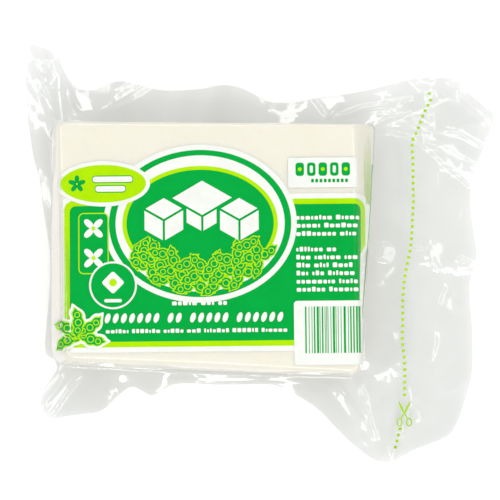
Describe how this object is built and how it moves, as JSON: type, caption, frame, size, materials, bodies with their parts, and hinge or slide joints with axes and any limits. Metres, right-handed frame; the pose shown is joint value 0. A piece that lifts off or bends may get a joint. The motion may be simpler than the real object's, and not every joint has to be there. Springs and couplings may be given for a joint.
{
  "type": "vacuum-packed tofu block",
  "caption": "Firm tofu block sealed tight in a clear printed film pouch with a wavy welded margin, lying flat with its label up.",
  "frame": {"origin": "under the block, near the middle of its flat back, on the surface that it rests on", "axes": "+X along the label's lines towards the wide margin with the cut mark, +Y towards the tops of the lines, +Z out of the label"},
  "size_m": [0.1758, 0.1558, 0.028],
  "materials": {
    "pouch": "cream tofu seen through clear glossy film with a green and lime printed label"
  },
  "bodies": {
    "root": {"sealed_pouch": "pouch"}
  },
  "joints": []
}
